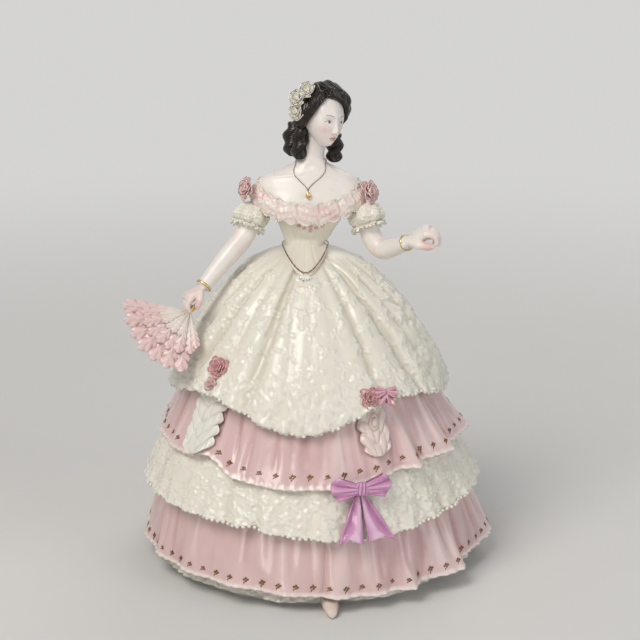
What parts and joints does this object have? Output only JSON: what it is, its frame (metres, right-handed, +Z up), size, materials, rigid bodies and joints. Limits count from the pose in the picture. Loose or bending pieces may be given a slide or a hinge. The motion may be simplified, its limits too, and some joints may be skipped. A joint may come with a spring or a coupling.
{
  "type": "porcelain figurine",
  "caption": "Porcelain lady in a tiered, flounced ball gown, holding a feather fan; a hollow-cast mantelpiece ornament that stands on the flat underside of its skirt.",
  "frame": {"origin": "centre of the flat underside of the skirt core, in the plane of the table", "axes": "+Z up along the figure; -Y the way the figure and its skirt front face; +X towards the figure's left hand"},
  "size_m": [0.1711, 0.1645, 0.2253],
  "materials": {
    "cream_glaze": "clear gloss glaze over cream body",
    "pink_glaze": "gloss, pale pink enamel under glaze",
    "rose_glaze": "gloss, deep rose enamel",
    "mauve_glaze": "gloss, mauve enamel",
    "white_glaze": "clear gloss glaze over white body",
    "flesh_glaze": "gloss, flesh tint",
    "hair_glaze": "gloss, dark brown enamel",
    "gilding": "burnished gold lustre over glaze"
  },
  "bodies": {
    "root": {"bertha_frill": "pink_glaze", "bodice": "cream_glaze", "bottom_flounce": "pink_glaze", "bow_knot": "mauve_glaze", "bow_loop_left": "mauve_glaze", "bow_loop_right": "mauve_glaze", "bow_tail_left": "mauve_glaze", "bow_tail_right": "mauve_glaze", "fan_handle": "gilding", "fan_plumes": "pink_glaze", "hair": "hair_glaze", "hair_blossom_1": "white_glaze", "hair_blossom_2": "white_glaze", "hair_blossom_3": "white_glaze", "head": "flesh_glaze", "left_arm": "flesh_glaze", "left_bracelet": "gilding", "left_cuff": "cream_glaze", "left_hand": "flesh_glaze", "left_lace_fall": "white_glaze", "left_ribbon_knot": "mauve_glaze", "left_ringlet": "hair_glaze", "left_shoulder_rose": "rose_glaze", "left_skirt_rose": "rose_glaze", "left_sleeve": "cream_glaze", "lower_lace_tier": "cream_glaze", "necklace": "gilding", "overskirt": "cream_glaze", "pendant": "gilding", "petticoat_frill": "white_glaze", "right_arm": "flesh_glaze", "right_bracelet": "gilding", "right_cuff": "cream_glaze", "right_hand": "flesh_glaze", "right_lace_fall": "white_glaze", "right_ringlet_back": "hair_glaze", "right_ringlet_front": "hair_glaze", "right_rosebud": "rose_glaze", "right_shoulder_rose": "rose_glaze", "right_skirt_rose": "rose_glaze", "right_sleeve": "cream_glaze", "shoe_toe": "cream_glaze", "shoulders": "flesh_glaze", "skirt_core": "white_glaze", "upper_flounce": "pink_glaze", "waist_cord": "gilding"}
  },
  "joints": []
}
